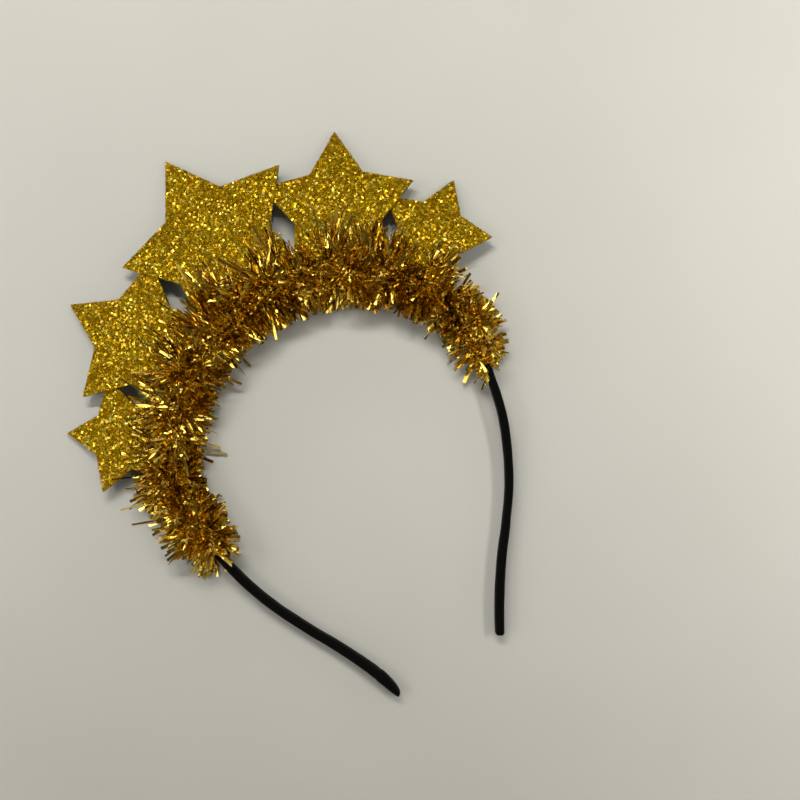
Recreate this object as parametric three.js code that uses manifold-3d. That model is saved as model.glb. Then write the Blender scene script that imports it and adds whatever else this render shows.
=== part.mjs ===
// Star tinsel headband, lying front side up: a fabric-wrapped band, one sheet of five fused glitter
// stars glued to its front edge, and a foil garland wound along the crown over both.
// Millimetres, +Z up, +Y from the leg tips to the crown.
import * as THREE from 'three';
import { mergeVertices } from 'three/addons/utils/BufferGeometryUtils.js';
import Module from 'manifold-3d';

// Band: its middle line in plan, as stations round the arch centre.
// angle: degrees from the crown, left negative. reach: from the arch centre. thick: as seen from above.
const BAND_STATIONS = [
  { angle: -157.6, reach: 92.8, thick: 3.7 },
  { angle: -151.8, reach: 82.9, thick: 4.0 },
  { angle: -143.3, reach: 74.7, thick: 3.7 },
  { angle: -132.4, reach: 69.1, thick: 3.6 },
  { angle: -117.2, reach: 65.0, thick: 3.6 },
  { angle: -98.0, reach: 63.0, thick: 3.6 },
  { angle: -76.0, reach: 64.0, thick: 3.6 },
  { angle: -56.0, reach: 65.8, thick: 3.6 },
  { angle: -25.0, reach: 63.6, thick: 3.6 },
  { angle: 0.0, reach: 62.6, thick: 3.6 },
  { angle: 25.0, reach: 62.8, thick: 3.6 },
  { angle: 57.0, reach: 64.4, thick: 3.6 },
  { angle: 77.5, reach: 61.4, thick: 3.5 },
  { angle: 95.7, reach: 56.4, thick: 3.3 },
  { angle: 114.0, reach: 55.9, thick: 3.5 },
  { angle: 135.7, reach: 58.7, thick: 3.3 },
  { angle: 149.0, reach: 62.6, thick: 3.3 },
  { angle: 160.8, reach: 68.9, thick: 3.6 },
  { angle: 170.0, reach: 78.6, thick: 3.7 },
  { angle: 175.4, reach: 88.0, thick: 3.5 },
];
const BAND_WIDTH = 6;
const CROWN_HEIGHT = 5.7;
const BAND_CORNER = 1.4;
const BAND_CORNER_MOST = 0.4;
const BAND_CORNER_POINTS = 4;
const BAND_STEPS = 72;
const LINE_DIVISIONS = 800;
const LEG_FLAT = 40;
const LEG_RISE = 104;
const LEFT_TAPER = { length: 9, least: 0.3 };
const RIGHT_TAPER = { length: 1.2, least: 0.72 };

// Stars: regular five-pointed stars that point straight out from the sheet's own centre, which lies
// a little beside the arch centre, mirrored to the right of the crown. Each droops evenly from the
// band to its tip.
const STARS = [
  { angle: 0, distance: 89.2, radius: 35.9 },
  { angle: 30.1, distance: 86.6, radius: 29.3 },
  { angle: 54.2, distance: 83.0, radius: 21.8 },
];
const SHEET_CENTRE = new THREE.Vector3(-0.65, -0.12, 0);
const SHEET_TIP_HEIGHT = 0.6;
const SHEET_INNER_REACH = 68;
const STAR_POINTS = 5;
const STAR_WAIST = 0.565;
const STRIP_THICK = 1.8;
const STRIP_SPAN = 68;

// Tinsel: the course of the garland along the crown, as shares of its length from left to right.
// reach: of its longest locks from its core. shift: of the core out of the arch from the band's middle line.
const TINSEL_COURSE = [
  { along: 0, reach: 12.5, shift: 1.0 },
  { along: 0.05, reach: 14.5, shift: 1.2 },
  { along: 0.11, reach: 11.5, shift: 3.0 },
  { along: 0.19, reach: 14.6, shift: 0.8 },
  { along: 0.35, reach: 14.4, shift: 0.8 },
  { along: 0.5, reach: 15.0, shift: 0.8 },
  { along: 0.65, reach: 15.0, shift: 0.5 },
  { along: 0.8, reach: 15.0, shift: -0.4 },
  { along: 0.9, reach: 12.0, shift: -0.5 },
  { along: 0.955, reach: 12.6, shift: 0.8 },
  { along: 1.0, reach: 11.5, shift: -2.0 },
];
const TINSEL_FROM_LEFT_TIP = 86;
const TINSEL_FROM_RIGHT_TIP = 99;
const TINSEL_ROWS = 62;
const TINSEL_AROUND = 18;
const TINSEL_CORE_SHARE = 0.55;
const TINSEL_LIFT = 2.8;
const TINSEL_CAP = 2.5;
const LOCK_SPREAD = 0.42;
const LOCK_SHORTEST = 0.84;
const LOCK_LONGEST = 1.08;
const LOCK_SEED = 7;
// Lock angles round the core where the sheet lies: 0 points out from the arch, 90 up.
const UNDER_SHEET_TO = -12;
const OVER_SHEET_FROM = 16;
const OVER_SHEET_TIP = 9;

const GAP = 0.3;
const MERGE_WITHIN = 1e-4;
const SHEET_INNER_HEIGHT = CROWN_HEIGHT + BAND_WIDTH / 2 + GAP;

const wasm = await Module();
wasm.setup();

const radians = THREE.MathUtils.degToRad;
const lerp = THREE.MathUtils.lerp;
const UP = new THREE.Vector3(0, 0, 1);

// A point in plan, by its angle from the crown and its reach from the arch centre.
function polar(angle, reach) {
  return new THREE.Vector3(reach * Math.sin(radians(angle)), reach * Math.cos(radians(angle)), 0);
}

// The value of a column between the two rows of a table that enclose a place.
function column(table, place, value, at) {
  const next = table.findIndex((row, index) => index > 0 && row[place] >= at);
  const after = table[next < 0 ? table.length - 1 : next];
  const before = table[next < 0 ? table.length - 2 : next - 1];
  const share = THREE.MathUtils.clamp((at - before[place]) / (after[place] - before[place]), 0, 1);
  return lerp(before[value], after[value], share);
}

const bandLine = new THREE.CatmullRomCurve3(
  BAND_STATIONS.map((row) => polar(row.angle, row.reach)),
  false,
  'centripetal',
);
bandLine.arcLengthDivisions = LINE_DIVISIONS;
const BAND_LENGTH = bandLine.getLength();

// The band's middle at a distance from its left tip, with the level direction out of the arch.
function bandFrame(distance) {
  const share = distance / BAND_LENGTH;
  const middle = bandLine.getPointAt(share);
  const fromTip = Math.min(distance, BAND_LENGTH - distance);
  const rise = THREE.MathUtils.smoothstep(fromTip, LEG_FLAT, LEG_RISE);
  middle.z = lerp(BAND_WIDTH / 2, CROWN_HEIGHT, rise);
  const along = bandLine.getTangentAt(share);
  return { middle, along, out: new THREE.Vector3().crossVectors(UP, along) };
}

// A quarter-round rise from a tip's least share of thickness to its full thickness.
function tipShare(taper, distance) {
  const inward = Math.min(distance / taper.length, 1);
  return lerp(taper.least, 1, Math.sqrt(1 - (1 - inward) ** 2));
}

// A closed skin over rings of points: quads between neighbouring rings and a fan over each end.
function loft(rings) {
  const around = rings[0].length;
  const points = rings.flat();
  const last = (rings.length - 1) * around;
  const index = [];
  for (let ring = 0; ring < rings.length - 1; ring++) {
    for (let k = 0; k < around; k++) {
      const a = ring * around + k;
      const b = ring * around + ((k + 1) % around);
      index.push(a, b, b + around, a, b + around, a + around);
    }
  }
  for (let k = 1; k < around - 1; k++) {
    index.push(0, k + 1, k, last, last + k, last + k + 1);
  }
  return new THREE.BufferGeometry().setFromPoints(points).setIndex(index);
}

// The rounded oblong section of the band, from the outer side round over the top.
function bandRing(frame, thick, width) {
  const corner = Math.min(BAND_CORNER, BAND_CORNER_MOST * thick);
  const ring = [];
  for (let quarter = 0; quarter < 4; quarter++) {
    for (let k = 0; k < BAND_CORNER_POINTS; k++) {
      const turn = (Math.PI / 2) * (quarter + k / (BAND_CORNER_POINTS - 1));
      const sideways = (quarter % 3 === 0 ? 1 : -1) * (thick / 2 - corner) + corner * Math.cos(turn);
      const upward = (quarter < 2 ? 1 : -1) * (width / 2 - corner) + corner * Math.sin(turn);
      ring.push(frame.middle.clone().addScaledVector(frame.out, sideways).addScaledVector(UP, upward));
    }
  }
  return ring;
}

// The band, grown on every side by a margin so that the same shape can clear its own tunnel.
function bandGeometry(margin) {
  const rings = [];
  for (let step = 0; step <= BAND_STEPS; step++) {
    const distance = (BAND_LENGTH * step) / BAND_STEPS;
    const frame = bandFrame(distance);
    const angle = THREE.MathUtils.radToDeg(Math.atan2(frame.middle.x, frame.middle.y));
    const full = column(BAND_STATIONS, 'angle', 'thick', angle);
    const left = tipShare(LEFT_TAPER, distance);
    const right = tipShare(RIGHT_TAPER, BAND_LENGTH - distance);
    rings.push(bandRing(frame, full * left * right + 2 * margin, BAND_WIDTH + 2 * margin));
  }
  return loft(rings);
}

function toSolid(geometry) {
  const bare = geometry.clone();
  bare.deleteAttribute('normal');
  bare.deleteAttribute('uv');
  const merged = mergeVertices(bare, MERGE_WITHIN);
  const vertProperties = Float32Array.from(merged.attributes.position.array);
  const triVerts = Uint32Array.from(merged.index.array);
  return new wasm.Manifold(new wasm.Mesh({ numProp: 3, vertProperties, triVerts }));
}

function toGeometry(solid) {
  const { vertProperties, triVerts } = solid.getMesh();
  const geometry = new THREE.BufferGeometry();
  geometry.setAttribute('position', new THREE.BufferAttribute(vertProperties, 3));
  geometry.setIndex(new THREE.BufferAttribute(triVerts, 1));
  geometry.computeVertexNormals();
  return geometry;
}

// One star of the sheet. A margin moves every edge out by the same amount, because all ten edges
// of a regular star lie equally far from its centre.
function starSolid(row, side, margin) {
  const step = Math.PI / STAR_POINTS;
  const edgeFromCentre =
    (STAR_WAIST * Math.sin(step)) / Math.hypot(STAR_WAIST * Math.sin(step), 1 - STAR_WAIST * Math.cos(step));
  const radius = row.radius + margin / edgeFromCentre;
  const outline = new THREE.Shape();
  for (let k = 0; k < 2 * STAR_POINTS; k++) {
    const reach = k % 2 === 0 ? radius : radius * STAR_WAIST;
    const x = reach * Math.sin(k * step);
    const y = reach * Math.cos(k * step);
    if (k === 0) outline.moveTo(x, y);
    else outline.lineTo(x, y);
  }
  outline.closePath();
  const sheet = new THREE.ExtrudeGeometry(outline, { depth: STRIP_THICK + 2 * margin, bevelEnabled: false });
  const droop = (SHEET_INNER_HEIGHT - SHEET_TIP_HEIGHT) / (row.distance + row.radius - SHEET_INNER_REACH);
  const centreHeight = SHEET_TIP_HEIGHT + droop * row.radius;
  sheet.applyMatrix4(new THREE.Matrix4().makeShear(0, 0, 0, -droop, 0, 0));
  sheet.rotateZ(-radians(side * row.angle));
  const centre = polar(side * row.angle, row.distance).add(SHEET_CENTRE);
  sheet.translate(centre.x, centre.y, centreHeight - margin);
  return toSolid(sheet);
}

// The whole sheet: neighbouring stars overlap at their side points, and gaps stay open between them.
function stripSolid(margin) {
  let sheet = null;
  for (const row of STARS) {
    for (const side of row.angle === 0 ? [1] : [-1, 1]) {
      const star = starSolid(row, side, margin);
      sheet = sheet ? sheet.add(star) : star;
    }
  }
  return sheet;
}

// Repeatable random numbers from 0 to 1, by a linear congruential step.
function makeRandom(seed) {
  const multiplier = 1664525;
  const increment = 1013904223;
  const modulus = 2 ** 32;
  let state = seed;
  return () => {
    state = (state * multiplier + increment) % modulus;
    return state / modulus;
  };
}

// Where a lock points: locks near the sheet stay under it, or lean out over it, or are left short.
function lockDirection(turn, nearSheet) {
  const fromLevel = turn > 180 ? turn - 360 : turn;
  if (!nearSheet || fromLevel > 90 || fromLevel < UNDER_SHEET_TO) return { tip: turn, grown: true };
  if (fromLevel < OVER_SHEET_FROM) return { tip: turn, grown: false };
  const lean = (fromLevel - OVER_SHEET_FROM) / (90 - OVER_SHEET_FROM);
  return { tip: lerp(OVER_SHEET_TIP, 90, lean), grown: true };
}

// The garland: a core round the band's middle line, divided into cells, with one pointed lock of foil
// standing on each cell. Locks that would pass the floor are cut short on it.
function tinselGeometry() {
  const random = makeRandom(LOCK_SEED);
  const length = BAND_LENGTH - TINSEL_FROM_LEFT_TIP - TINSEL_FROM_RIGHT_TIP;

  // A point at an angle and reach round the core, where row and turn may fall between cells.
  const place = (row, turn, reach) => {
    const frame = bandFrame(TINSEL_FROM_LEFT_TIP + (length * row) / TINSEL_ROWS);
    const shift = column(TINSEL_COURSE, 'along', 'shift', row / TINSEL_ROWS);
    const sideways = shift + reach * Math.cos(radians(turn));
    const upward = TINSEL_LIFT + reach * Math.sin(radians(turn));
    return frame.middle.addScaledVector(frame.out, sideways).addScaledVector(UP, upward);
  };
  const reachAt = (row) => column(TINSEL_COURSE, 'along', 'reach', row / TINSEL_ROWS);
  const turnOf = (k) => (360 * k) / TINSEL_AROUND;

  const points = [];
  for (let row = 0; row <= TINSEL_ROWS; row++) {
    for (let k = 0; k < TINSEL_AROUND; k++) {
      points.push(place(row, turnOf(k), TINSEL_CORE_SHARE * reachAt(row)));
    }
  }
  const index = [];
  for (let row = 0; row < TINSEL_ROWS; row++) {
    for (let k = 0; k < TINSEL_AROUND; k++) {
      const at = row + 0.5 + LOCK_SPREAD * (2 * random() - 1);
      const cellTurn = turnOf(k + 0.5 + LOCK_SPREAD * (2 * random() - 1));
      const full = reachAt(at) * lerp(LOCK_SHORTEST, LOCK_LONGEST, random());
      const root = place(at, 0, 0);
      const nearSheet = Math.abs(Math.atan2(root.x, root.y)) < radians(STRIP_SPAN);
      const { tip, grown } = lockDirection(cellTurn, nearSheet);
      const rise = Math.sin(radians(tip));
      let reach = grown ? full : TINSEL_CORE_SHARE * reachAt(at);
      if (rise < 0) reach = Math.min(reach, root.z / -rise);
      const lock = points.push(place(at, tip, reach)) - 1;
      const a = row * TINSEL_AROUND + k;
      const b = row * TINSEL_AROUND + ((k + 1) % TINSEL_AROUND);
      const c = a + TINSEL_AROUND;
      const d = b + TINSEL_AROUND;
      index.push(a, b, lock, b, d, lock, d, c, lock, c, a, lock);
    }
  }
  const last = TINSEL_ROWS * TINSEL_AROUND;
  const firstCap = bandFrame(TINSEL_FROM_LEFT_TIP);
  const lastCap = bandFrame(BAND_LENGTH - TINSEL_FROM_RIGHT_TIP);
  const start = points.push(firstCap.middle.addScaledVector(firstCap.along, -TINSEL_CAP)) - 1;
  const end = points.push(lastCap.middle.addScaledVector(lastCap.along, TINSEL_CAP)) - 1;
  for (let k = 0; k < TINSEL_AROUND; k++) {
    const next = (k + 1) % TINSEL_AROUND;
    index.push(start, next, k, end, last + k, last + next);
  }
  return new THREE.BufferGeometry().setFromPoints(points).setIndex(index);
}

function piece(name, geometry, look) {
  const mesh = new THREE.Mesh(geometry, new THREE.MeshStandardMaterial(look));
  mesh.name = name;
  return mesh;
}

const tinselSolid = toSolid(tinselGeometry()).subtract(toSolid(bandGeometry(GAP))).subtract(stripSolid(GAP));

const headband = new THREE.Group();
headband.add(
  piece('band', bandGeometry(0), { color: 0x11110f, roughness: 0.9, metalness: 0 }),
  piece('star_strip', toGeometry(stripSolid(0)), { color: 0xa8801c, roughness: 0.4, metalness: 0.9 }),
  piece('tinsel', toGeometry(tinselSolid), { color: 0xb07a14, roughness: 0.3, metalness: 1 }),
);

// The origin is under the middle of the whole outline, on the surface that it lies on.
const middle = new THREE.Box3().setFromObject(headband).getCenter(new THREE.Vector3());
headband.position.set(-middle.x, -middle.y, 0);

export default headband;
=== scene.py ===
# Star tinsel headband, lying front side up on a pale table and seen from straight above.
# Shapes are worked out in millimetres round the centre of the band's arch, and settled in metres.
import math

import bpy
import numpy as np
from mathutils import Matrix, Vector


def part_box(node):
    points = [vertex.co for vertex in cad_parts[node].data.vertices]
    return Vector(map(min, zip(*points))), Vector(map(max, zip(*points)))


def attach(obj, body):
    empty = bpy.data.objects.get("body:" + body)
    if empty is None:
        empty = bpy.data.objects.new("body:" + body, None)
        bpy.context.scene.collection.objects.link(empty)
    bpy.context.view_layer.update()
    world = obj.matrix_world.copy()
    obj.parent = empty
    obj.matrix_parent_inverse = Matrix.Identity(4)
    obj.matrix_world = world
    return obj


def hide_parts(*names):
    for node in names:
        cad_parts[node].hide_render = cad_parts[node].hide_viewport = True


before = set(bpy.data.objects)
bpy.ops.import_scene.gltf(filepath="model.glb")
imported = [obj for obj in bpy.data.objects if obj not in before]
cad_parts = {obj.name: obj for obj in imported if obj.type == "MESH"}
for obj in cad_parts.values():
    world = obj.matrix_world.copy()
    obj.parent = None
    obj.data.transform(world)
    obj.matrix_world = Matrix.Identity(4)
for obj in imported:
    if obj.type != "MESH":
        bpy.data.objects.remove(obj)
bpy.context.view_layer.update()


# The band: a springy plastic strip bent to an arch, sleeved in black satin ribbon.
# The ribbon's edges lap over each other along the inner face, its left end is folded over the tip
# and glued back on itself, and its right end is cut off square.

MM = 0.001
UP = np.array((0.0, 0.0, 1.0))
LARGE_STAR_TIP = 89.2 + 35.9  # from the sheet's own centre: the large star's distance and its radius
SHEET_CENTRE = np.array((-0.65, -0.12, 0.0))  # from the arch centre

strip_low, strip_high = (np.array(corner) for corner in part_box("star_strip"))
sheet_centre = np.array(((strip_low[0] + strip_high[0]) / 2, strip_high[1] - LARGE_STAR_TIP * MM, 0.0))
ARCH_CENTRE = sheet_centre - SHEET_CENTRE * MM

# Columns: degrees from the crown with the left side negative, reach from the arch centre, and the
# thickness as seen from above.
BAND_STATIONS = np.array((
    (-157.6, 92.8, 3.7), (-151.8, 82.9, 4.0), (-143.3, 74.7, 3.7), (-132.4, 69.1, 3.6),
    (-117.2, 65.0, 3.6), (-98.0, 63.0, 3.6), (-76.0, 64.0, 3.6), (-56.0, 65.8, 3.6),
    (-25.0, 63.6, 3.6), (0.0, 62.6, 3.6), (25.0, 62.8, 3.6), (57.0, 64.4, 3.6),
    (77.5, 61.4, 3.5), (95.7, 56.4, 3.3), (114.0, 55.9, 3.5), (135.7, 58.7, 3.3),
    (149.0, 62.6, 3.3), (160.8, 68.9, 3.6), (170.0, 78.6, 3.7), (175.4, 88.0, 3.5),
))
BAND_WIDTH = 6.0
CROWN_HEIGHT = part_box("band")[1][2] / MM - BAND_WIDTH / 2
LEG_FLAT = 40.0
LEG_RISE = 104.0
LEFT_TAPER, LEFT_LEAST = 9.0, 0.22
RIGHT_TAPER, RIGHT_LEAST = 1.2, 0.72
SECTION_SQUARENESS = 3.0
BAND_RINGS, BAND_AROUND = 700, 56
FOLD_LENGTH, FOLD_RISE, FOLD_EDGE, FOLD_SLANT = 10.5, 0.16, 0.5, 0.8
LAP_RISE, LAP_TURN = 0.12, math.radians(205)
LAP_EDGE, LAP_FADE = 0.16, (0.5, 2.2)  # radians of turn past the lap's edge
PUCKER_RISE, PUCKER_SWING = 0.035, 2.2
PUCKER_LENGTH, PUCKER_PATCH, PUCKER_DRIFT = 1.9, 7.3, 23
GIRTH_DIVISOR = 2.2  # a radian of turn is about the width over this, measured along the ribbon
TIP_SLANT = 0.6
TIP_WIDTH_LEAST = 0.55


def polar(angle, reach):
    """Points in plan: reach times the sine and the cosine of the angle from the crown, level."""
    turn = np.radians(angle)
    return np.stack((reach * np.sin(turn), reach * np.cos(turn), np.zeros_like(turn)), axis=-1)


def through(stations, per_span):
    """A smooth line through stations. Each span is a cubic whose end slopes come from the stations
    on either side, weighted by the square roots of the spans' lengths."""
    before = 2 * stations[:1] - stations[1:2]
    after = 2 * stations[-1:] - stations[-2:-1]
    p = np.vstack((before, stations, after))
    gap = np.sqrt(np.linalg.norm(np.diff(p, axis=0), axis=1))[:, None]
    d0, d1, d2 = gap[:-2], gap[1:-1], gap[2:]
    p0, p1, p2, p3 = p[:-3], p[1:-2], p[2:-1], p[3:]
    leave = ((p1 - p0) / d0 - (p2 - p0) / (d0 + d1) + (p2 - p1) / d1) * d1
    arrive = ((p2 - p1) / d1 - (p3 - p1) / (d1 + d2) + (p3 - p2) / d2) * d1
    t = np.linspace(0, 1, per_span, endpoint=False)[None, :, None]
    spans = (
        (2 * t**3 - 3 * t**2 + 1) * p1[:, None] + (t**3 - 2 * t**2 + t) * leave[:, None]
        + (3 * t**2 - 2 * t**3) * p2[:, None] + (t**3 - t**2) * arrive[:, None]
    )
    return np.vstack((spans.reshape(-1, 3), stations[-1:]))


band_line = through(polar(BAND_STATIONS[:, 0], BAND_STATIONS[:, 1]), per_span=60)
line_distance = np.concatenate(((0,), np.cumsum(np.linalg.norm(np.diff(band_line, axis=0), axis=1))))
BAND_LENGTH = line_distance[-1]


def smoothstep(value, low, high):
    """A share from 0 to 1 that leaves and arrives level: 3t squared minus 2t cubed."""
    t = np.clip((value - low) / (high - low), 0, 1)
    return t * t * (3 - 2 * t)


def unit(vectors):
    """Vectors divided by their own lengths."""
    return vectors / np.linalg.norm(vectors, axis=-1, keepdims=True)


def band_frames(distance):
    """The band's middle at distances from its left tip, the way along it and the level way out of
    the arch. The legs lie flat at their tips and rise smoothly to the crown."""
    step = 0.05
    here = [np.stack([np.interp(at, line_distance, band_line[:, axis]) for axis in range(3)], axis=-1)
            for at in (distance, np.maximum(distance - step, 0), np.minimum(distance + step, BAND_LENGTH))]
    middle = here[0]
    along = unit(here[2] - here[1])
    from_tip = np.minimum(distance, BAND_LENGTH - distance)
    rise = smoothstep(from_tip, LEG_FLAT, LEG_RISE)
    middle[..., 2] = BAND_WIDTH / 2 + (CROWN_HEIGHT - BAND_WIDTH / 2) * rise
    return middle, along, np.cross(UP, along)


def tip_share(distance, length, least):
    """A quarter-round rise from a tip's least share of thickness to the full thickness."""
    inward = np.clip(distance / length, 0, 1)
    return least + (1 - least) * np.sqrt(1 - (1 - inward) ** 2)


def wrapped_band():
    """Rings of a rounded oblong, a superellipse, along the band. The satin stands proud where its
    left end is folded back and along the lap, and puckers a little between them."""
    distance = BAND_LENGTH * (0.5 - 0.5 * np.cos(np.pi * np.linspace(0, 1, BAND_RINGS)))
    middle, _, out = band_frames(distance)
    angle = np.degrees(np.arctan2(middle[:, 0], middle[:, 1]))
    thick = np.interp(angle, BAND_STATIONS[:, 0], BAND_STATIONS[:, 2])
    left = tip_share(distance, LEFT_TAPER, LEFT_LEAST)
    right = tip_share(BAND_LENGTH - distance, RIGHT_TAPER, RIGHT_LEAST)
    full = (left * right)[:, None]
    half_thick = (thick[:, None] / 2 - LAP_RISE) * full
    half_width = BAND_WIDTH / 2 * (TIP_WIDTH_LEAST + (1 - TIP_WIDTH_LEAST) * full)
    turn = np.linspace(0, 2 * np.pi, BAND_AROUND, endpoint=False)[None, :]
    power = 2 / SECTION_SQUARENESS
    sideways = np.sign(np.cos(turn)) * np.abs(np.cos(turn)) ** power
    upward = np.sign(np.sin(turn)) * np.abs(np.sin(turn)) ** power
    along = distance[:, None]
    slanted = along + FOLD_SLANT * np.sin(turn)
    fold = FOLD_RISE * (1 - smoothstep(slanted, FOLD_LENGTH - FOLD_EDGE, FOLD_LENGTH))
    past_lap = np.mod(LAP_TURN - turn, 2 * np.pi)
    lap = LAP_RISE * smoothstep(past_lap, 0, LAP_EDGE) * (1 - smoothstep(past_lap, *LAP_FADE))
    swing = PUCKER_SWING * np.sin(turn + along / PUCKER_DRIFT)
    pucker = PUCKER_RISE * np.sin(along / PUCKER_LENGTH + swing) * np.sin(along / PUCKER_PATCH + turn)
    proud = (fold + lap + pucker) * full
    sideways = sideways * (half_thick + proud) + TIP_SLANT * (1 - left)[:, None] * thick[:, None] / 2
    upward = upward * (half_width + np.where(upward < 0, 0, proud))
    lowest = -middle[:, 2][:, None]
    return (
        middle[:, None] + out[:, None] * sideways[..., None] + UP * np.maximum(upward, lowest)[..., None],
        np.stack(np.broadcast_arrays(along, turn * BAND_WIDTH / GIRTH_DIVISOR), axis=-1),
    )


def skin(rings):
    """Closed skins over rings of points, given as pieces, rings, points and xyz: two triangles
    between neighbouring points of neighbouring rings, and a fan of triangles over each end."""
    pieces, count, around = rings.shape[:3]
    k = np.arange(around)
    a = np.arange(count - 1)[:, None] * around + k
    b = np.arange(count - 1)[:, None] * around + (k + 1) % around
    walls = np.stack((a, b, b + around, a, b + around, a + around), axis=-1).reshape(-1, 3)
    fan = np.arange(1, around - 1)
    last = (count - 1) * around
    first_cap = np.stack((0 * fan, fan + 1, fan), axis=-1)
    last_cap = np.stack((last + 0 * fan, last + fan, last + fan + 1), axis=-1)
    one = np.vstack((walls, first_cap, last_cap))
    faces = one[None] + (np.arange(pieces) * count * around)[:, None, None]
    return rings.reshape(-1, 3), faces.reshape(-1, 3)


def make_piece(name, points, faces, finish, smooth=False, **values):
    """A mesh object of points in arch millimetres, settled in the frame's metres, with one number
    for each point under each further name, or two where it is the piece's UV map."""
    mesh = bpy.data.meshes.new(name)
    mesh.from_pydata(ARCH_CENTRE + points * MM, [], faces)
    mesh.polygons.foreach_set("use_smooth", np.full(len(faces), smooth))
    for key, value in values.items():
        if key == "uv":
            layer = mesh.uv_layers.new(name="UVMap")
            layer.data.foreach_set("uv", value[np.ravel(faces)].astype(np.float32).ravel())
        else:
            mesh.attributes.new(key, "FLOAT", "POINT").data.foreach_set("value", value.astype(np.float32))
    mesh.materials.append(finish)
    mesh.update()
    piece = bpy.data.objects.new(name, mesh)
    bpy.context.scene.collection.objects.link(piece)
    return piece


def new_finish(name, **sockets):
    """A node material, with the named sockets of its shader set, and its nodes, links and shader."""
    material = bpy.data.materials.new(name)
    material.use_nodes = True
    tree = material.node_tree
    shader = tree.nodes["Principled BSDF"]
    for socket, value in sockets.items():
        shader.inputs[socket.replace("_", " ")].default_value = value
    return material, tree.nodes, tree.links, shader


def node(nodes, kind, **settings):
    """A shader node of a kind, with its settings made."""
    made = nodes.new(kind)
    for key, value in settings.items():
        setattr(made, key, value)
    return made


def black_satin():
    """Black ribbon: fine ribs across and along the band as bump, a soft cool
    sheen, and slightly shinier patches where it is stretched."""
    material, nodes, links, shader = new_finish(
        "black_satin", Base_Color=(0.0034, 0.0034, 0.0030, 1), Roughness=0.6, Specular_IOR_Level=0.03,
        Sheen_Weight=0.02, Sheen_Roughness=0.5, Sheen_Tint=(0.62, 0.68, 0.80, 1),
    )
    uv = node(nodes, "ShaderNodeUVMap", uv_map="UVMap")
    ribs = node(nodes, "ShaderNodeTexWave", wave_type="BANDS", bands_direction="X")
    ribs.inputs["Scale"].default_value = 0.9
    threads = node(nodes, "ShaderNodeTexWave", wave_type="BANDS", bands_direction="Y")
    threads.inputs["Scale"].default_value = 1.3
    weave = node(nodes, "ShaderNodeMath", operation="MULTIPLY")
    bump = node(nodes, "ShaderNodeBump")
    bump.inputs["Strength"].default_value = 0.35
    bump.inputs["Distance"].default_value = 0.0001
    patches = node(nodes, "ShaderNodeTexNoise")
    patches.inputs["Scale"].default_value = 0.12
    shine = node(nodes, "ShaderNodeMapRange")
    shine.inputs["To Min"].default_value = 0.42
    shine.inputs["To Max"].default_value = 0.64
    links.new(uv.outputs["UV"], ribs.inputs["Vector"])
    links.new(uv.outputs["UV"], threads.inputs["Vector"])
    links.new(uv.outputs["UV"], patches.inputs["Vector"])
    links.new(ribs.outputs["Fac"], weave.inputs[0])
    links.new(threads.outputs["Fac"], weave.inputs[1])
    links.new(weave.outputs["Value"], bump.inputs["Height"])
    links.new(bump.outputs["Normal"], shader.inputs["Normal"])
    links.new(patches.outputs["Fac"], shine.inputs["Value"])
    links.new(shine.outputs["Result"], shader.inputs["Roughness"])
    return material


band_rings, band_uv = wrapped_band()
band = make_piece(
    "satin_band", *skin(band_rings[None]), black_satin(), smooth=True, uv=band_uv.reshape(-1, 2),
)
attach(band, "root")
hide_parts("band")


# The stars: one die-cut sheet of foam, dark at its cut edges and back, glued to the band's front edge.
# Each star droops evenly from the band to its tip, which nearly touches the table.
# The face is a gold film packed with glitter flakes, each lying at its own small tilt in the lacquer.

# Columns: degrees from the crown, distance from the sheet's own centre, and radius.
STARS = np.array((
    (0.0, 89.2, 35.9), (-30.1, 86.6, 29.3), (30.1, 86.6, 29.3), (-54.2, 83.0, 21.8), (54.2, 83.0, 21.8),
))
STAR_POINTS = 5
STAR_WAIST = 0.565
SHEET_THICK = 1.8
TIP_HEIGHT = strip_low[2] / MM
INNER_REACH, INNER_HEIGHT = 68.0, CROWN_HEIGHT + BAND_WIDTH / 2 + 0.3
FLAKE_SPACING = 0.74
FLAKE_RADIUS = 0.54
FLAKE_TILT = math.radians(14)
FLAKE_TILTS, FLAKE_SIZES = (0.4, 1.4), (0.7, 1.15)  # least and most share
FLAKE_HEIGHTS, FLAKE_SUNK = (0.04, 0.13), 0.2
FLAKE_EDGE = 0.28
GLITTER_SEED = 5


def sheet_at(points):
    """For points in plan: how far they lie outside the sheet, negative inside, and the heights of the
    sheet's back and face there. The first is the least over the stars of the distance past the edge
    that faces the point, once folded into half a star point. A star's height falls evenly outward."""
    sector = math.pi / STAR_POINTS
    edge = np.array((STAR_WAIST * math.sin(sector), 1 - STAR_WAIST * math.cos(sector)))
    edge_normal = edge / np.linalg.norm(edge)
    outward = polar(STARS[:, 0], np.ones(len(STARS)))[:, :2]
    past, back = [], []
    for (angle, distance, radius), way in zip(STARS, outward):
        off = points[..., :2] - SHEET_CENTRE[:2] - distance * way
        turn = np.arctan2(off[..., 0], off[..., 1]) - math.radians(angle)
        folded = np.abs(np.mod(turn + sector, 2 * sector) - sector)
        reach = np.linalg.norm(off, axis=-1)
        along_normal = reach * (np.cos(folded) * edge_normal[0] + np.sin(folded) * edge_normal[1])
        past.append(along_normal - radius * edge_normal[0])
        droop = (INNER_HEIGHT - TIP_HEIGHT) / (distance + radius - INNER_REACH)
        back.append(TIP_HEIGHT + droop * (radius - off @ way))
    past, back = np.array(past), np.array(back)
    here = (past < 0) | (past == past.min(axis=0))
    highest = np.where(here, back, -np.inf).max(axis=0)
    return past.min(axis=0), np.where(here, back, np.inf).min(axis=0), highest + SHEET_THICK


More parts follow.
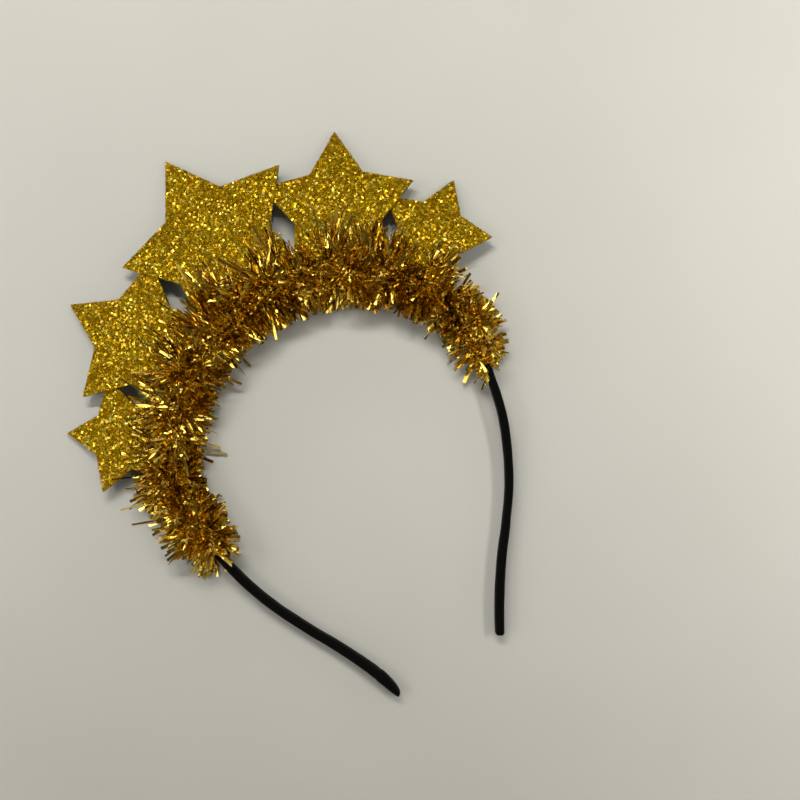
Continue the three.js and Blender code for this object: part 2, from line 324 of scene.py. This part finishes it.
def glitter_flakes():
    """Six-sided flakes on a jittered grid over the sheet's face. Each is a flat top, tilted by a
    random slope, on a point that is sunk in the lacquer."""
    random = np.random.default_rng(GLITTER_SEED)
    low, high = (strip_low - ARCH_CENTRE) / MM, (strip_high - ARCH_CENTRE) / MM
    grid = np.stack(np.meshgrid(
        np.arange(low[0], high[0], FLAKE_SPACING), np.arange(low[1], high[1], FLAKE_SPACING),
    ), axis=-1).reshape(-1, 2)
    grid = grid + random.uniform(-0.5, 0.5, grid.shape) * FLAKE_SPACING
    grid = grid[sheet_at(grid)[0] < -FLAKE_EDGE]
    count = len(grid)
    slope = random.normal(0, math.tan(FLAKE_TILT), (count, 1, 2))
    slope = slope * random.uniform(*FLAKE_TILTS, (count, 1, 1))
    turn = random.uniform(0, 2 * np.pi, (count, 1)) + np.arange(6) * np.pi / 3
    radius = FLAKE_RADIUS * random.uniform(*FLAKE_SIZES, (count, 1))
    rim = np.stack((np.cos(turn), np.sin(turn)), axis=-1) * radius[..., None]
    height = random.uniform(*FLAKE_HEIGHTS, (count, 1)) + np.sum(rim * slope, axis=-1)
    rim = grid[:, None] + rim
    top = np.concatenate((rim, (sheet_at(rim)[2] + height)[..., None]), axis=-1)
    point = np.concatenate((grid, sheet_at(grid)[2][:, None] - FLAKE_SUNK), axis=-1)[:, None]
    points = np.concatenate((top, point), axis=1)
    k = np.arange(6)
    fan = np.stack((0 * k[1:5], k[1:5], k[1:5] + 1), axis=-1)
    sides = np.stack((k, 0 * k + 6, (k + 1) % 6), axis=-1)
    one = np.vstack((fan, sides))
    faces = one[None] + (np.arange(count) * 7)[:, None, None]
    return points.reshape(-1, 3), faces.reshape(-1, 3), np.repeat(random.uniform(0, 1, count), 7)


def colour_by(nodes, links, value, stops):
    """A ramp node from a value to colours, with (place, colour) stops, and its colour output."""
    ramp = node(nodes, "ShaderNodeValToRGB")
    elements = ramp.color_ramp.elements
    while len(elements) < len(stops):
        elements.new(0.5)
    for element, (place, colour) in zip(elements, stops):
        element.position = place
        element.color = (*colour, 1)
    links.new(value, ramp.inputs["Fac"])
    return ramp.outputs["Color"]


def gold_flake():
    """Metallised gold film in clear lacquer: each flake has its own depth of gold, and the lacquer
    lays a paler shine over it."""
    material, nodes, links, shader = new_finish(
        "gold_flake", Metallic=0.84, Roughness=0.22, Specular_IOR_Level=0.2,
        Coat_Weight=0.35, Coat_Roughness=0.05,
    )
    tone = node(nodes, "ShaderNodeAttribute", attribute_name="tone")
    colour = colour_by(nodes, links, tone.outputs["Fac"], (
        (0.0, (0.45, 0.232, 0.0)), (0.55, (0.63, 0.370, 0.0)), (0.8, (0.78, 0.56, 0.01)),
        (1.0, (0.97, 0.86, 0.13)),
    ))
    links.new(colour, shader.inputs["Base Color"])
    return material


def glitter_foam():
    """The sheet under the flakes: gold lacquer full of finer glitter on the face, whose cells each
    tilt the surface their own way, and dark foam on the back and the cut edges."""
    material, nodes, links, shader = new_finish("glitter_foam", Roughness=0.42)
    place = node(nodes, "ShaderNodeTexCoord")
    cells = node(nodes, "ShaderNodeTexVoronoi")
    cells.inputs["Scale"].default_value = 1 / (0.45 * MM)
    shape = node(nodes, "ShaderNodeNewGeometry")
    facing = node(nodes, "ShaderNodeSeparateXYZ")
    face = node(nodes, "ShaderNodeMath", operation="GREATER_THAN")
    face.inputs[1].default_value = 0.5
    tilt = node(nodes, "ShaderNodeVectorMath", operation="SUBTRACT")
    tilt.inputs[1].default_value = (0.5, 0.5, 0.5)
    lean = node(nodes, "ShaderNodeVectorMath", operation="SCALE")
    lean.inputs["Scale"].default_value = 0.7
    leaning = node(nodes, "ShaderNodeVectorMath", operation="ADD")
    level = node(nodes, "ShaderNodeVectorMath", operation="NORMALIZE")
    colour = colour_by(nodes, links, face.outputs["Value"], (
        (0.0, (0.020, 0.014, 0.008)), (1.0, (0.58, 0.31, 0.003)),
    ))
    links.new(place.outputs["Object"], cells.inputs["Vector"])
    links.new(shape.outputs["True Normal"], facing.inputs["Vector"])
    links.new(facing.outputs["Z"], face.inputs[0])
    links.new(cells.outputs["Color"], tilt.inputs[0])
    links.new(tilt.outputs["Vector"], lean.inputs[0])
    links.new(lean.outputs["Vector"], leaning.inputs[0])
    links.new(shape.outputs["True Normal"], leaning.inputs[1])
    links.new(leaning.outputs["Vector"], level.inputs[0])
    links.new(level.outputs["Vector"], shader.inputs["Normal"])
    links.new(colour, shader.inputs["Base Color"])
    links.new(face.outputs["Value"], shader.inputs["Metallic"])
    return material


sheet_finish = glitter_foam()
for material_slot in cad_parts["star_strip"].material_slots:
    material_slot.material = sheet_finish
flake_points, flake_faces, flake_tone = glitter_flakes()
flakes = make_piece("glitter_flakes", flake_points, flake_faces, gold_flake(), tone=flake_tone)
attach(flakes, "root")


# The tinsel: a garland of gold film slit into fringe and twisted into a thin core, wound round the
# band's crown over the stars' lower points. Strips under the sheet stay under it, and strips that
# meet the table or the sheet bend along it.

# Columns: share of the garland's length from the left, reach of its longest strips from the band's
# middle line, and how much further they reach out of the arch than up.
GARLAND_COURSE = np.array((
    (0.0, 12.5, 1.5), (0.05, 14.5, 2.2), (0.105, 12.0, 3.0), (0.145, 15.6, 6.0), (0.2, 15.6, 2.4),
    (0.35, 15.6, 2.4), (0.5, 15.8, 2.4), (0.65, 15.6, 1.8), (0.8, 15.0, 0.2), (0.9, 12.0, -0.5),
    (0.955, 12.4, -0.3), (1.0, 11.0, -3.6),
))
GARLAND_FROM_LEFT_TIP, GARLAND_FROM_RIGHT_TIP = 86.0, 101.0
TWIST_PITCH = 9.0
ROOT_SIDEWAYS = 2.6
ROOT_UPWARD, ROOT_LIFT = np.array((3.6, 5.2)), np.array((0.3, 1.6))  # past the sheet, and by it
SHEET_END = (62, 72)  # degrees from the crown, where the sheet under the garland runs out
TINSEL_SEED = 20
FANS_EACH_PLY = 380
FAN_WIDTH, FAN_OPEN = 1.8, 0.25
FAN_SCATTER, FAN_ROLL, FAN_TWIST = 1.3, 0.6, 0.5  # radians
SIDE_SPREAD, TOP_SPREAD, UPWARD_BIAS = 0.25, 0.85, 0.1  # radians
SIDE_LEAN, TOP_LEAN, END_LEAN = 0.25, 0.75, 1.1
CROSSING_SHARE, CROSSING_ABOVE, CROSSING_RISE = 0.6, 0.2, 0.45
UNDER_SHEET = -0.2  # sine of the spread, below which a strip goes under the sheet
TUCKED_OUTWARD, TUCKED_REACH = 0.3, 0.65
STRIPS_EACH_PLY = 5800
STRIP_WIDTH, WIDTH_SCATTER = 0.95, 0.22
STRIP_THICK = 0.05
STRIP_RINGS = 5
STRIP_STRAY, STRIP_ROLL, STRIP_TWIST, STRIP_CURL = 0.09, 0.85, 0.3, 0.08
LEAST_LENGTH = 2.5
FULL_REACH = (0.8, 1.06)  # least and most share of the garland's reach, as are the next two
SHORT_SHARE, SHORT_REACH = 0.25, (0.5, 0.8)
STRAGGLER_SHARE, STRAGGLER_REACH = 0.015, (1.2, 1.5)
CRIMP_SHARE, CRIMP_LENGTH, CRIMP_LOOSE = 0.32, (2.0, 4.0), 0.9
CRIMP_SCATTER, CRIMP_STRAY, CRIMP_ROLL, CRIMP_WIDTH = 0.6, 0.9, 1.5, 0.8
END_SHARE, END_WIDENING = 0.05, 0.3
# The last lightens strips at the garland's ends: a painted highlight, as they lie open to the light.
FAN_TONE, STRIP_TONE, END_PAINTED_HIGHLIGHT = 0.5, 0.42, 0.15
CLEAR, LEAST_HEIGHT = 0.45, 0.04
SHEET_MARGIN, SHEET_FLOAT, BEND_SHARE = 0.5, 0.5, 0.5
TINY = 1e-9  # keeps a vector without length from being divided by nothing


def foil_strips(ply):
    """Narrow strips in fans, as slit film spreads from its core, and small crimped bits between them.
    A fan's root lies on an oval round the band and the sheet, at a turn that advances with the twist,
    the two plies half a turn apart. Each fan leans its own way, most of all on top, where many cross
    over the core and lie lower. Its strips lie side by side, each curling and rolling a little, and
    are shorter where they are tucked under the sheet."""
    random = np.random.default_rng(TINSEL_SEED + ply)
    count = STRIPS_EACH_PLY
    length = BAND_LENGTH - GARLAND_FROM_LEFT_TIP - GARLAND_FROM_RIGHT_TIP
    fan = random.integers(0, FANS_EACH_PLY, count)
    fan_share, fan_tone, fan_cross = random.uniform(0, 1, (3, FANS_EACH_PLY))[:, fan]
    fan_turn, fan_spread, fan_lean, fan_roll, fan_twist = random.normal(0, 1, (5, FANS_EACH_PLY))[:, fan]
    crimp = random.uniform(0, 1, count) < CRIMP_SHARE
    place = random.uniform(-1, 1, count)
    share = np.clip(fan_share + place * FAN_WIDTH / length, 0, 1)
    middle, along, out = band_frames(GARLAND_FROM_LEFT_TIP + length * share)
    by_sheet = 1 - smoothstep(np.abs(np.degrees(np.arctan2(middle[:, 0], middle[:, 1]))), *SHEET_END)

    turn = 2 * np.pi * length * fan_share / TWIST_PITCH + np.pi * ply + FAN_SCATTER * fan_turn
    turn = turn + UPWARD_BIAS * np.cos(turn) + crimp * random.normal(0, CRIMP_SCATTER, count)
    crossing = (np.sin(turn) > CROSSING_ABOVE) & (fan_cross < CROSSING_SHARE)
    loose = 1 + crimp * random.uniform(0, CRIMP_LOOSE, count)
    sideways = ROOT_SIDEWAYS * loose * np.cos(turn) * np.where(crossing, -1, 1)
    upward = np.interp(by_sheet, (0, 1), ROOT_UPWARD) * loose * np.sin(turn)
    lift = np.interp(by_sheet, (0, 1), ROOT_LIFT)
    root = middle + out * sideways[:, None] + UP * (upward + lift)[:, None]

    on_top = np.clip(np.sin(turn), 0, 1)
    opening = FAN_ROLL * fan_roll
    stray = np.where(crimp, CRIMP_STRAY, STRIP_STRAY)
    spread = turn + (SIDE_SPREAD + TOP_SPREAD * on_top) * fan_spread + FAN_OPEN * place * np.sin(opening)
    spread = spread + stray * random.normal(0, 1, count)
    flare = smoothstep(share, 1 - END_SHARE, 1) - smoothstep(-share, -END_SHARE, 0)
    lean = (SIDE_LEAN + TOP_LEAN * on_top) * fan_lean + FAN_OPEN * place * np.cos(opening)
    lean = lean + stray * random.normal(0, 1, count) + END_LEAN * flare * random.uniform(0, 1, count)
    lying = np.where(crossing & ~crimp, CROSSING_RISE, 1)
    direction = unit(
        out * np.cos(spread)[:, None] + UP * (lying * np.sin(spread))[:, None] + along * lean[:, None]
    )
    reach = np.interp(share, GARLAND_COURSE[:, 0], GARLAND_COURSE[:, 1])
    reach = reach + np.interp(share, GARLAND_COURSE[:, 0], GARLAND_COURSE[:, 2]) * np.cos(spread)
    tucked = (np.cos(spread) > TUCKED_OUTWARD) & (np.sin(spread) < UNDER_SHEET) & (by_sheet > 0.5)
    reach = reach * np.where(tucked, TUCKED_REACH, 1)
    short = random.uniform(0, 1, count) < SHORT_SHARE
    reach = reach * np.where(short, random.uniform(*SHORT_REACH, count), random.uniform(*FULL_REACH, count))
    straggler = random.uniform(0, 1, count) < STRAGGLER_SHARE
    reach = reach * np.where(straggler, random.uniform(*STRAGGLER_REACH, count), 1)
    strip_length = np.maximum(reach - np.hypot(sideways, upward), LEAST_LENGTH)
    strip_length = np.where(crimp, random.uniform(*CRIMP_LENGTH, count), strip_length)

    u = np.linspace(0, 1, STRIP_RINGS)[None, :, None]
    curl = np.cross(direction, unit(random.normal(0, 1, (count, 3)))) * (STRIP_CURL * strip_length)[:, None]
    line = root[:, None] + direction[:, None] * (strip_length[:, None, None] * u) + curl[:, None] * u**2
    afloat = (random.uniform(0, SHEET_FLOAT, count) * strip_length)[:, None] * u[..., 0]
    line = keep_clear(line, (np.sin(spread) > UNDER_SHEET)[:, None], afloat)

    way = unit(np.gradient(line, axis=1) + TINY)
    flat = unit(along[:, None] - way * np.sum(along[:, None] * way, axis=-1, keepdims=True) + TINY)
    normal = np.cross(way, flat)
    roll = np.where(crimp, CRIMP_ROLL, STRIP_ROLL) * random.normal(0, 1, count) - opening
    twist = FAN_TWIST * fan_twist + random.normal(0, STRIP_TWIST, count)
    roll = roll[:, None, None] + twist[:, None, None] * u
    side = flat * np.cos(roll) + normal * np.sin(roll)
    face = np.cross(way, side)
    half = STRIP_WIDTH / 2 * random.lognormal(0, WIDTH_SCATTER, count)
    half = half * np.where(crimp, CRIMP_WIDTH, 1 + END_WIDENING * np.abs(flare))
    edge, thick = side * half[:, None, None], face * STRIP_THICK / 2
    rings = np.stack((line - edge, line + edge - thick, line + edge + thick), axis=2)
    rings[..., 2] = np.maximum(rings[..., 2], LEAST_HEIGHT)
    # A strip's tone is its own random depth of gold, lightened at the garland's ends as a painted
    # highlight.
    tone = FAN_TONE * fan_tone + STRIP_TONE * random.uniform(0, 1, count) + END_PAINTED_HIGHLIGHT * np.abs(flare)
    return rings, np.repeat(np.clip(tone, 0, 1), STRIP_RINGS * 3)


def keep_clear(line, over_sheet, afloat):
    """Bends strips along the table and along the sheet: a point past the surface goes to it, or to its
    own float above the sheet, and on along the strip's level direction by half of its move in height."""
    level = line[:, -1:] - line[:, :1]
    level = unit(level * np.array((1, 1, 0)) + 1e-6)
    outside, back, face = sheet_at(line)
    by_sheet = outside < SHEET_MARGIN
    height = line[..., 2]
    kept = np.where(by_sheet & over_sheet, np.maximum(height, face + CLEAR + afloat), height)
    kept = np.where(by_sheet & ~over_sheet, np.minimum(kept, back - CLEAR), kept)
    kept = np.maximum(kept, CLEAR)
    line = line + level * (BEND_SHARE * np.abs(kept - height))[..., None]
    line[..., 2] = kept
    return line


def gold_film():
    """Metallised film strips: gold of many depths, some amber and a few olive or dark, each strip of
    one tone, with faint crinkles. Strips at the garland's ends are given a lighter tone, a painted
    highlight."""
    material, nodes, links, shader = new_finish(
        "gold_film", Metallic=1.0, Roughness=0.13, Coat_Weight=0.4, Coat_Roughness=0.03,
    )
    tone = node(nodes, "ShaderNodeAttribute", attribute_name="tone")
    colour = colour_by(nodes, links, tone.outputs["Fac"], (
        (0.0, (0.30, 0.182, 0.013)), (0.15, (0.60, 0.395, 0.038)), (0.5, (0.83, 0.585, 0.085)),
        (0.8, (0.88, 0.65, 0.115)), (0.92, (0.92, 0.72, 0.16)), (1.0, (0.97, 0.84, 0.32)),
    ))
    links.new(colour, shader.inputs["Base Color"])
    place = node(nodes, "ShaderNodeTexCoord")
    crinkle = node(nodes, "ShaderNodeTexNoise")
    crinkle.inputs["Scale"].default_value = 1 / (1.4 * MM)
    bump = node(nodes, "ShaderNodeBump")
    bump.inputs["Strength"].default_value = 0.15
    bump.inputs["Distance"].default_value = 0.2 * MM
    links.new(place.outputs["Object"], crinkle.inputs["Vector"])
    links.new(crinkle.outputs["Fac"], bump.inputs["Height"])
    links.new(bump.outputs["Normal"], shader.inputs["Normal"])
    return material


film_finish = gold_film()
# Each ply's tones include the painted highlight at the garland's ends.
for ply, name in enumerate(("tinsel_ply_a", "tinsel_ply_b")):
    ply_rings, ply_tone_and_painted_highlight = foil_strips(ply)
    tinsel = make_piece(name, *skin(ply_rings), film_finish, tone=ply_tone_and_painted_highlight)
    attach(tinsel, "root")
    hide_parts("tinsel")


# The table top, soft lights overhead and round the walls, and the camera, which looks straight down.
# The picture is turned so that the crown points up and to the left, as it lies in the photograph.

PICTURE_TURN = math.radians(33.24)
CAMERA_HEIGHT = 0.400
PICTURE_SPAN = 0.296
PICTURE_MIDDLE = np.array((23.5, 4.3, 0.0))  # from the arch centre
TABLE_REACH = 3000.0

picture_right = np.array((math.cos(PICTURE_TURN), -math.sin(PICTURE_TURN), 0.0))
picture_up = np.array((math.sin(PICTURE_TURN), math.cos(PICTURE_TURN), 0.0))
picture_middle = ARCH_CENTRE + PICTURE_MIDDLE * MM


def table_top():
    """A level square far larger than the view, pale and faintly mottled."""
    material, nodes, links, shader = new_finish("pale_table", Roughness=0.55, Specular_IOR_Level=0.3)
    place = node(nodes, "ShaderNodeTexCoord")
    mottle = node(nodes, "ShaderNodeTexNoise")
    mottle.inputs["Scale"].default_value = 9
    colour = colour_by(nodes, links, mottle.outputs["Fac"], (
        (0.3, (0.605, 0.592, 0.537)), (0.7, (0.635, 0.623, 0.567)),
    ))
    links.new(place.outputs["Object"], mottle.inputs["Vector"])
    links.new(colour, shader.inputs["Base Color"])
    corners = np.array(((-1, -1, 0), (1, -1, 0), (1, 1, 0), (-1, 1, 0))) * TABLE_REACH
    return make_piece("table_top", corners, np.array(((0, 1, 2), (0, 2, 3))), material)


def ceiling_light(name, place, size, watts, colour, seen_by, turned=0.0):
    """An oblong light that faces down, turned to the right by an angle, at a place to the right, up and
    above the picture's middle and with its sides along the picture's. Matt surfaces see it, or shiny
    ones, or both."""
    lamp = bpy.data.lights.new(name, "AREA")
    lamp.shape = "RECTANGLE"
    lamp.size, lamp.size_y = size
    lamp.energy = watts
    lamp.color = colour
    light = bpy.data.objects.new(name, lamp)
    light.location = picture_middle + picture_right * place[0] + picture_up * place[1] + UP * place[2]
    light.rotation_euler = (0, -turned, -PICTURE_TURN)
    light.visible_glossy = seen_by != "matt"
    light.visible_diffuse = seen_by != "shiny"
    bpy.context.scene.collection.objects.link(light)


def room():
    """The room's glow, as shiny surfaces see it: warm, and brighter at the walls than at the ceiling,
    falling off as the square of what is left of the height."""
    world = bpy.data.worlds.new("room")
    world.use_nodes = True
    world.cycles_visibility.diffuse = False
    nodes, links = world.node_tree.nodes, world.node_tree.links
    glow = nodes["Background"]
    glow.inputs["Color"].default_value = (1.0, 0.91, 0.76, 1)
    place = node(nodes, "ShaderNodeTexCoord")
    way = node(nodes, "ShaderNodeSeparateXYZ")
    below = node(nodes, "ShaderNodeMath", operation="SUBTRACT", use_clamp=True)
    below.inputs[0].default_value = 1.0
    square = node(nodes, "ShaderNodeMath", operation="POWER")
    square.inputs[1].default_value = 2.0
    strength = node(nodes, "ShaderNodeMapRange")
    strength.inputs["To Min"].default_value = 0.055
    strength.inputs["To Max"].default_value = 0.34
    links.new(place.outputs["Generated"], way.inputs["Vector"])
    links.new(way.outputs["Z"], below.inputs[1])
    links.new(below.outputs["Value"], square.inputs[0])
    links.new(square.outputs["Value"], strength.inputs["Value"])
    links.new(strength.outputs["Result"], glow.inputs["Strength"])
    return world


table_top()
LAMP_WHITE, DOWNLIGHT_WHITE = (1.0, 0.985, 0.95), (1.0, 0.97, 0.9)
DOWNLIGHTS = (
    (-0.45, 0.35, 1.0), (0.15, 0.35, 1.0), (0.45, 0.30, 1.0), (-0.20, -0.30, 1.0), (-0.65, -0.05, 1.0),
    (0.25, -0.05, 1.0),
)
DOWNLIGHT_SIZE, DOWNLIGHT_WATTS = (0.16, 0.16), 0.62
PANEL_COUNT, PANEL_FIRST_TURN = 8, 0.3
PANEL_DISTANCE, PANEL_HEIGHT, PANEL_SIZE, PANEL_WATTS = 2.5, 0.9, (1.1, 1.1), 9.0
BOX_SIZE = (0.26, 0.26)
RIGHT_BOX_TURN = math.radians(35)

ceiling_light("overhead", (0.0, 0.3, 2.2), (3.5, 3.5), 4.5, LAMP_WHITE, "matt")
ceiling_light("tube", (-0.13, 0.455, 0.655), (0.5, 0.06), 4.5, LAMP_WHITE, "matt")
ceiling_light("left_box", (-0.47, -0.01, 0.44), BOX_SIZE, 1.1, LAMP_WHITE, "matt")
ceiling_light("right_box", (0.39, 0.05, 0.44), BOX_SIZE, 3.0, LAMP_WHITE, "matt", RIGHT_BOX_TURN)
for number, place in enumerate(DOWNLIGHTS):
    ceiling_light(f"downlight_{number}", place, DOWNLIGHT_SIZE, DOWNLIGHT_WATTS, DOWNLIGHT_WHITE, "shiny")
for number in range(PANEL_COUNT):
    turn = number * 2 * math.pi / PANEL_COUNT + PANEL_FIRST_TURN
    place = (PANEL_DISTANCE * math.cos(turn), PANEL_DISTANCE * math.sin(turn), PANEL_HEIGHT)
    ceiling_light(f"panel_{number}", place, PANEL_SIZE, PANEL_WATTS, LAMP_WHITE, "both")
bpy.context.scene.world = room()
bpy.context.scene.view_settings.view_transform = "Standard"

camera = bpy.data.objects.new("camera", bpy.data.cameras.new("camera"))
camera.data.angle = 2 * math.atan(PICTURE_SPAN / 2 / CAMERA_HEIGHT)
camera.data.clip_start = 0.01
camera.location = picture_middle + UP * CAMERA_HEIGHT
camera.rotation_euler = (0, 0, -PICTURE_TURN)
bpy.context.scene.collection.objects.link(camera)
bpy.context.scene.camera = camera
